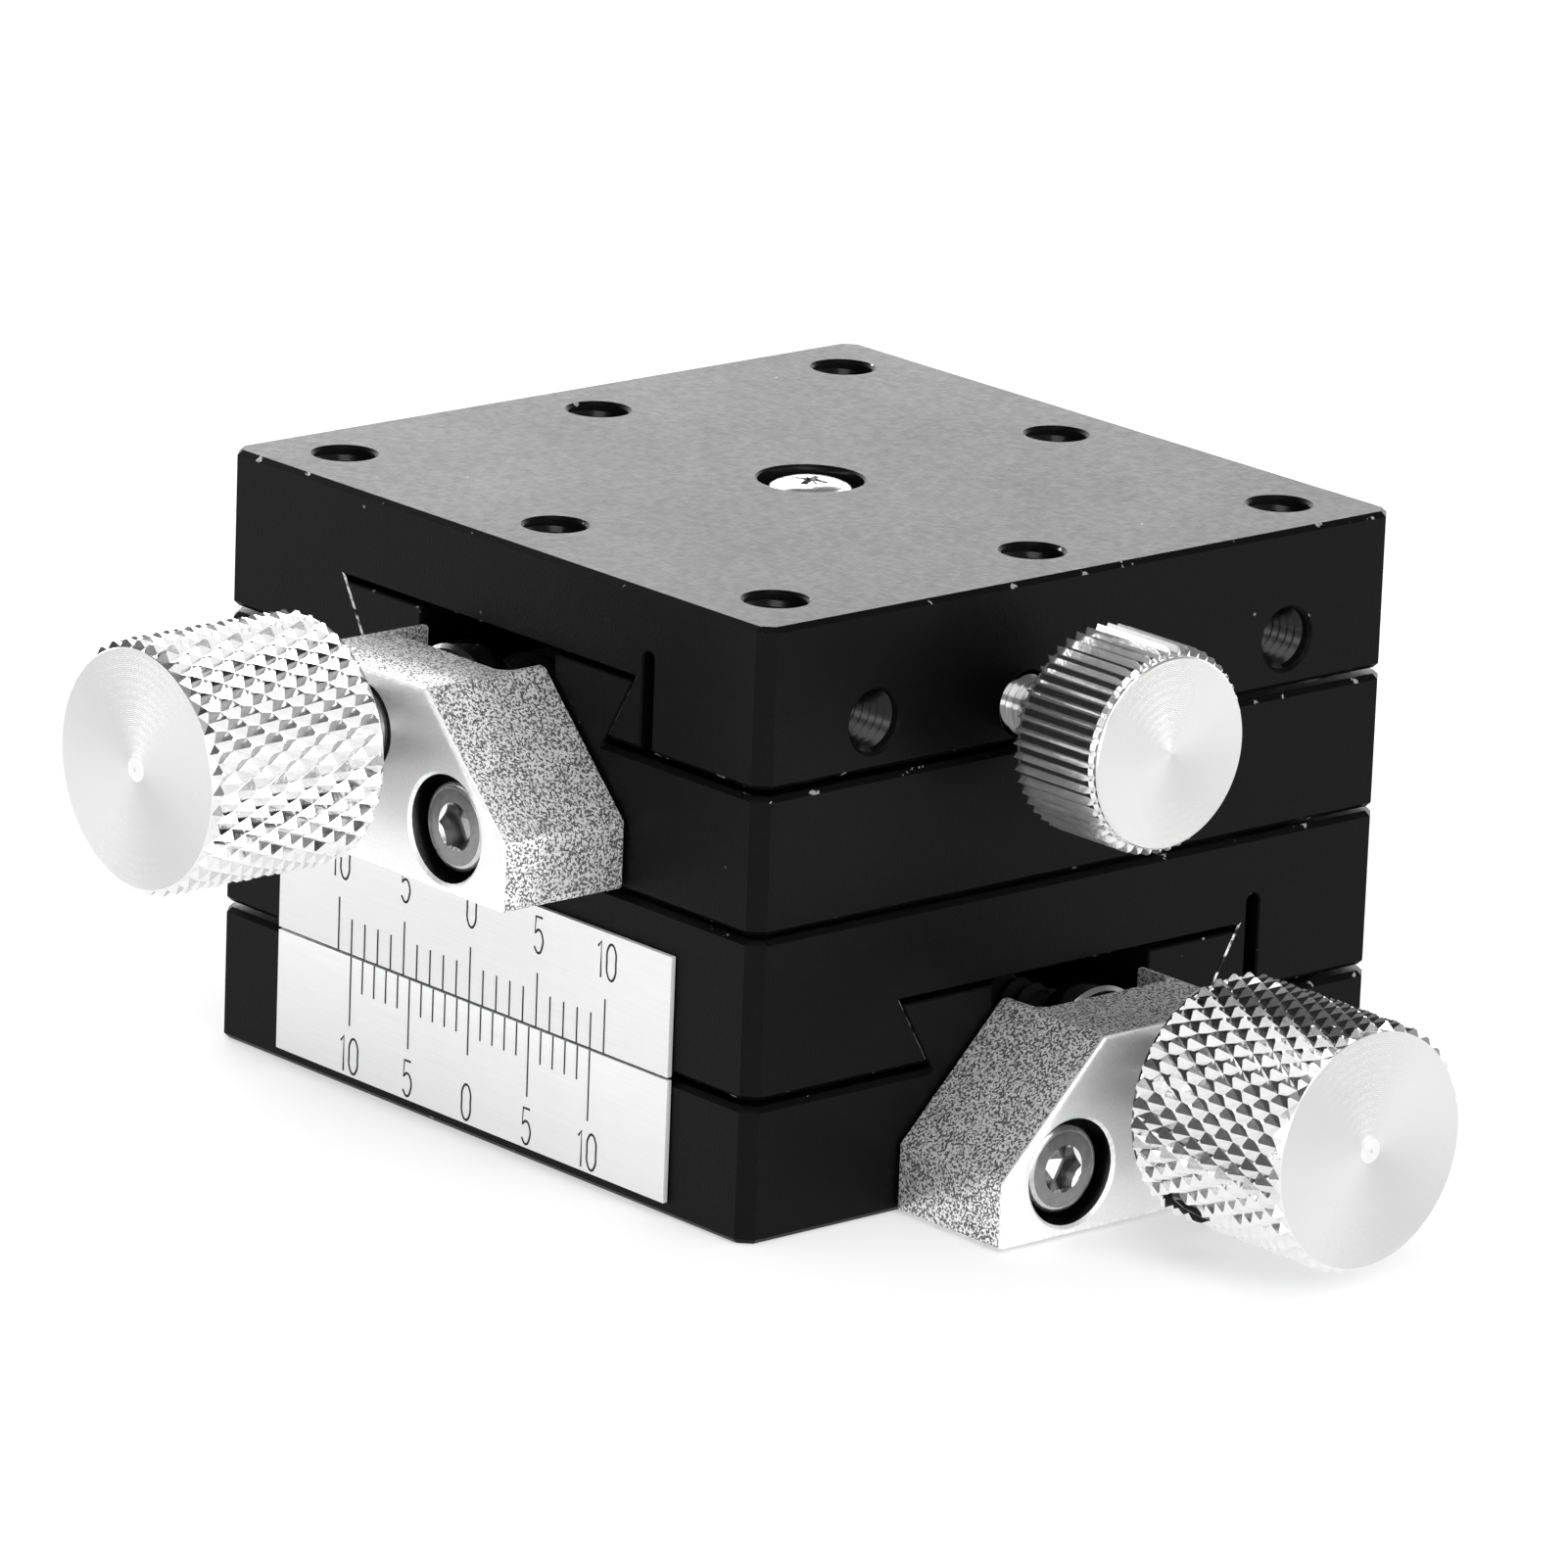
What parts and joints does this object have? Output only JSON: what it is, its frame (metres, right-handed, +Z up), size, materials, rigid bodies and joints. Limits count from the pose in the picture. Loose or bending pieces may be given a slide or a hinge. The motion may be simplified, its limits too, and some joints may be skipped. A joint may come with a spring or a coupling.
{
  "type": "manual two-axis dovetail stage",
  "caption": "Square black XY stage of stacked dovetail slides with knurled feed knobs, fluted lock screws, silver end brackets and engraved millimetre scales.",
  "frame": {"origin": "centre of the lower base's underside, where the stage is bolted to a bench", "axes": "+Z up out of the table; +X along the lower slide, towards the lower knob; -Y along the upper slide, towards the upper knob"},
  "size_m": [0.0612, 0.0709, 0.0298],
  "materials": {
    "black_anodised": "black anodised over a fine bead blast",
    "sand_blasted": "sand-blasted silver with bright machined edges",
    "screw_steel": "plain steel cap screws",
    "turned_steel": "turned steel",
    "nut_brass": "machined brass",
    "bright_zinc": "bright zinc plate",
    "nickel_knurl": "nickel plate, knurled or fluted",
    "dark_steel": "black oxide",
    "satin_scale": "satin silver with black engraved lines"
  },
  "bodies": {
    "lower_base": {"lower_base": "black_anodised", "lower_bracket": "sand_blasted", "lower_bracket_screw_left": "screw_steel", "lower_bracket_screw_right": "screw_steel", "lower_vernier_plate": "satin_scale"},
    "lower_table": {"lower_table": "black_anodised", "lower_scale_plate": "satin_scale", "lower_feed_nut": "nut_brass", "lower_nut_screw": "bright_zinc", "lower_gib_screw_front": "dark_steel", "lower_gib_screw_rear": "dark_steel", "upper_joining_screw_1": "dark_steel", "upper_joining_screw_2": "dark_steel", "upper_joining_screw_3": "dark_steel", "upper_joining_screw_4": "dark_steel", "upper_base": "black_anodised", "upper_bracket": "sand_blasted", "upper_bracket_screw_left": "screw_steel", "upper_bracket_screw_right": "screw_steel", "upper_vernier_plate": "satin_scale"},
    "lower_feed": {"lower_feed_screw": "turned_steel", "lower_knob": "nickel_knurl", "lower_knob_set_screw": "dark_steel"},
    "lower_lock": {"lower_lock_screw": "turned_steel", "lower_lock_knob": "nickel_knurl"},
    "upper_table": {"upper_table": "black_anodised", "upper_scale_plate": "satin_scale", "upper_feed_nut": "nut_brass", "upper_nut_screw": "bright_zinc", "upper_gib_screw_front": "dark_steel", "upper_gib_screw_rear": "dark_steel"},
    "upper_feed": {"upper_feed_screw": "turned_steel", "upper_knob": "nickel_knurl", "upper_knob_set_screw": "dark_steel"},
    "upper_lock": {"upper_lock_screw": "turned_steel", "upper_lock_knob": "nickel_knurl"}
  },
  "joints": [
    {"name": "x_slide", "type": "slide", "parent": "lower_base", "child": "lower_table", "axis": [1, 0, 0], "range_m": [-0.01, 0.01]},
    {"name": "x_feed_turn", "type": "hinge", "parent": "lower_base", "child": "lower_feed", "pos_m": [0.02, 0, 0.0067], "axis": [1, 0, 0], "range_deg": [-860, 860]},
    {"name": "x_lock_turn", "type": "hinge", "parent": "lower_table", "child": "lower_lock", "pos_m": [0.00365, 0.02, 0.00875], "axis": [0, 1, 0], "range_deg": [0, 180]},
    {"name": "y_slide", "type": "slide", "parent": "lower_table", "child": "upper_table", "axis": [0, 1, 0], "range_m": [-0.01, 0.01]},
    {"name": "y_feed_turn", "type": "hinge", "parent": "lower_table", "child": "upper_feed", "pos_m": [0, -0.02, 0.0217], "axis": [0, 1, 0], "range_deg": [-860, 860]},
    {"name": "y_lock_turn", "type": "hinge", "parent": "upper_table", "child": "upper_lock", "pos_m": [0.02, -0.00365, 0.02375], "axis": [1, 0, 0], "range_deg": [0, 180]}
  ],
  "couplings": [
    {"joint": "x_feed_turn", "follows": "x_slide", "rad_per_m": -1496},
    {"joint": "y_feed_turn", "follows": "y_slide", "rad_per_m": -1496}
  ]
}
